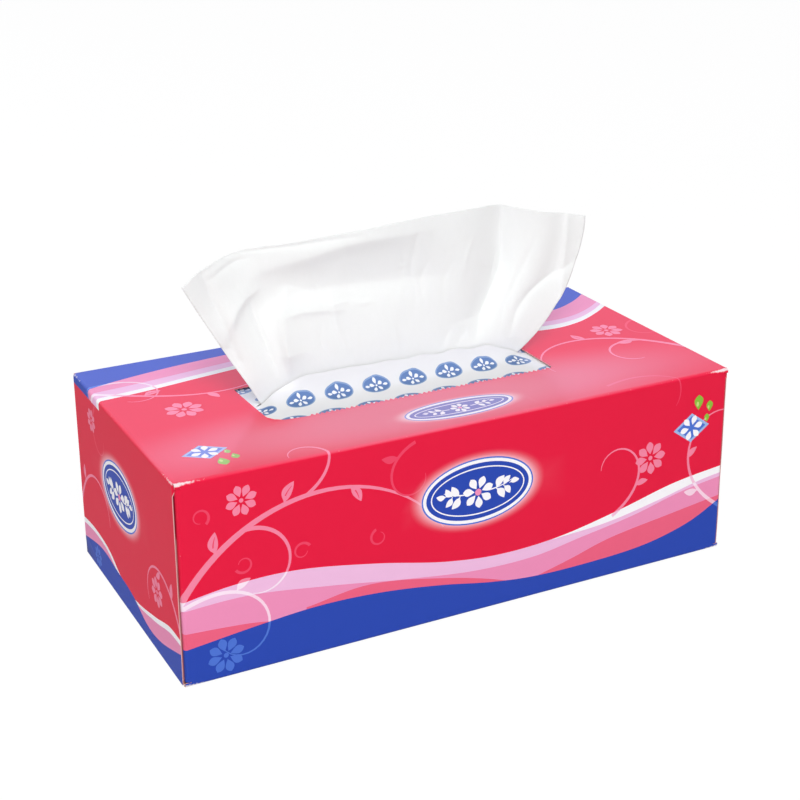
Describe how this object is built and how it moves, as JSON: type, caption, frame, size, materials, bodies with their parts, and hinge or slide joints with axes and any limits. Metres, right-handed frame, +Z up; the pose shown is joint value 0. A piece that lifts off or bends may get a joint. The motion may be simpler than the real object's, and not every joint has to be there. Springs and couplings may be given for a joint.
{
  "type": "tissue box",
  "caption": "Folded carton of facial tissues with a printed sleeve, a slit film window and one sheet drawn up through the slit.",
  "frame": {"origin": "centre of the carton's base, on the surface it stands on", "axes": "+X along the long side, -Y out of the long face shown in front, +Z up"},
  "size_m": [0.23, 0.117, 0.1401],
  "materials": {
    "printed_board": "coated paperboard, printed in red, pink and blue under a gloss varnish",
    "film": "thin translucent film printed with small blue motifs",
    "tissue": "soft white two-ply tissue"
  },
  "bodies": {
    "root": {"carton": "printed_board", "slit_film": "film", "tissue_stack": "tissue", "pulled_tissue": "tissue"}
  },
  "joints": []
}
